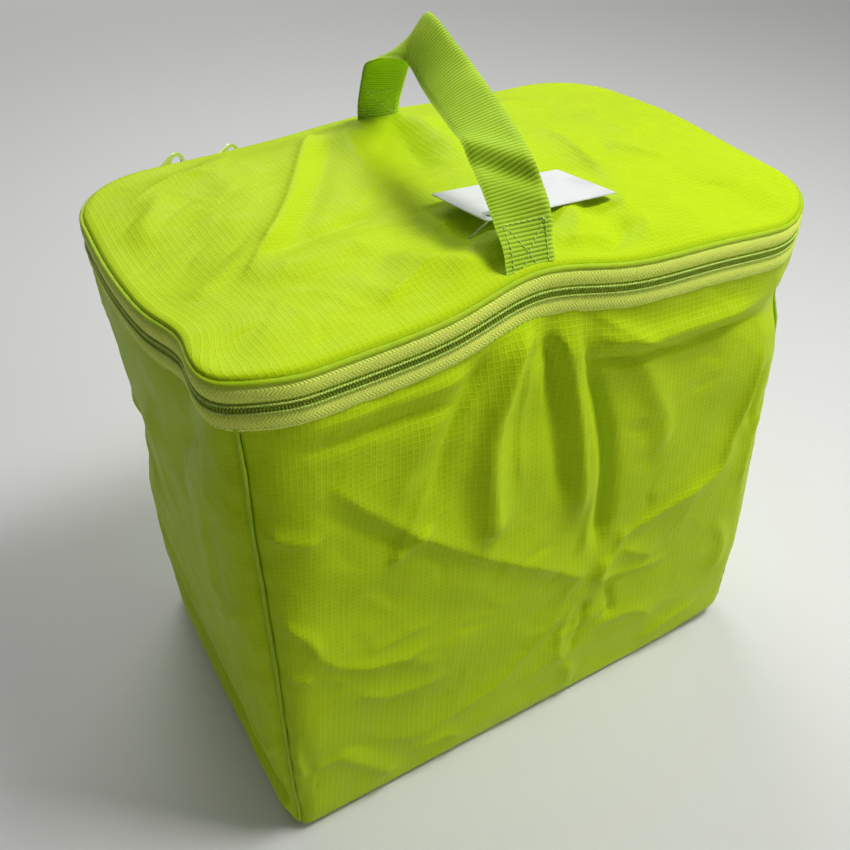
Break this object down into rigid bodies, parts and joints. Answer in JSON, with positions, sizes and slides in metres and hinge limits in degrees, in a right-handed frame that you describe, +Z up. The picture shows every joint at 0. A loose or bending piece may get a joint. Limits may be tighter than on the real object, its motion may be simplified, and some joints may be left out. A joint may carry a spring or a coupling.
{
  "type": "insulated cooler bag",
  "caption": "Upright insulated cooler bag with padded foil-lined walls, a zipped hinged lid, a webbing carry handle, corner piping and teardrop zip pulls.",
  "frame": {"origin": "centre of the base panel, on the surface that the bag stands on", "axes": "+X across the bag to its right, -Y out of the front panel, +Z up through the lid"},
  "size_m": [0.3812, 0.2683, 0.4385],
  "materials": {
    "shell_fabric": "satin ripstop polyester, coated",
    "piping": "satin fabric-covered cord",
    "zip_tape": "matt woven zip tape",
    "zip_coil": "satin nylon coil",
    "zip_metal": "gloss enamel on zinc",
    "webbing": "matt ribbed webbing",
    "binding": "matt woven binding tape",
    "foam": "closed-cell foam",
    "foil_liner": "metallised film, crinkled, semi-gloss",
    "card": "coated card",
    "clear_plastic": "translucent nylon"
  },
  "bodies": {
    "bag": {"base_panel": "shell_fabric", "front_panel": "shell_fabric", "back_panel": "shell_fabric", "left_side_panel": "shell_fabric", "right_side_panel": "shell_fabric", "left_side_piping": "piping", "right_side_piping": "piping", "base_foam": "foam", "front_foam": "foam", "back_foam": "foam", "left_foam": "foam", "right_foam": "foam", "tub_liner": "foil_liner", "rim_binding": "binding", "body_zip_tape": "zip_tape", "body_zip_coil": "zip_coil", "hinge_strip": "shell_fabric", "left_zip_end": "zip_tape", "right_zip_end": "zip_tape", "zip_end_stops": "zip_metal"},
    "lid": {"lid_cover": "shell_fabric", "lid_foam": "foam", "lid_liner": "foil_liner", "lid_binding": "binding", "lid_piping": "piping", "lid_zip_tape": "zip_tape", "lid_zip_coil": "zip_coil", "handle_front_end": "webbing", "handle_rear_end": "webbing", "tag_fastener": "clear_plastic"},
    "handle": {"handle_loop": "webbing"},
    "corner_slider": {"corner_slider": "zip_metal"},
    "corner_pull": {"corner_pull": "zip_metal"},
    "rear_slider": {"rear_slider": "zip_metal"},
    "rear_pull": {"rear_pull": "zip_metal"},
    "tag": {"hang_tag": "card"}
  },
  "joints": [
    {"name": "lid_hinge", "type": "hinge", "parent": "bag", "child": "lid", "pos_m": [0, 0.126, 0.356], "axis": [-1, 0, 0], "range_deg": [0, 110]},
    {"name": "handle_swing", "type": "hinge", "parent": "lid", "child": "handle", "pos_m": [-0.002, 0, 0.376], "axis": [0.1513, 0.9885, 0], "range_deg": [-60, 60]},
    {"name": "corner_slider_travel", "type": "hinge", "parent": "bag", "child": "corner_slider", "pos_m": [-0.14, 0.077, 0.343], "axis": [0, 0, 1], "range_deg": [0, 90]},
    {"name": "corner_pull_swing", "type": "hinge", "parent": "corner_slider", "child": "corner_pull", "pos_m": [-0.14, 0.1321, 0.343], "axis": [0, 0, 1], "range_deg": [-12, 150]},
    {"name": "rear_slider_travel", "type": "slide", "parent": "bag", "child": "rear_slider", "axis": [1, 0, 0], "range_m": [0, 0.033]},
    {"name": "rear_pull_swing", "type": "hinge", "parent": "rear_slider", "child": "rear_pull", "pos_m": [-0.104, 0.1321, 0.343], "axis": [0, 0, 1], "range_deg": [-12, 100]},
    {"name": "tag_swivel", "type": "hinge", "parent": "lid", "child": "tag", "pos_m": [-0.01544, -0.07031, 0.37665], "axis": [0.0872, 0.0868, 0.9924], "range_deg": [-12, 15]}
  ]
}
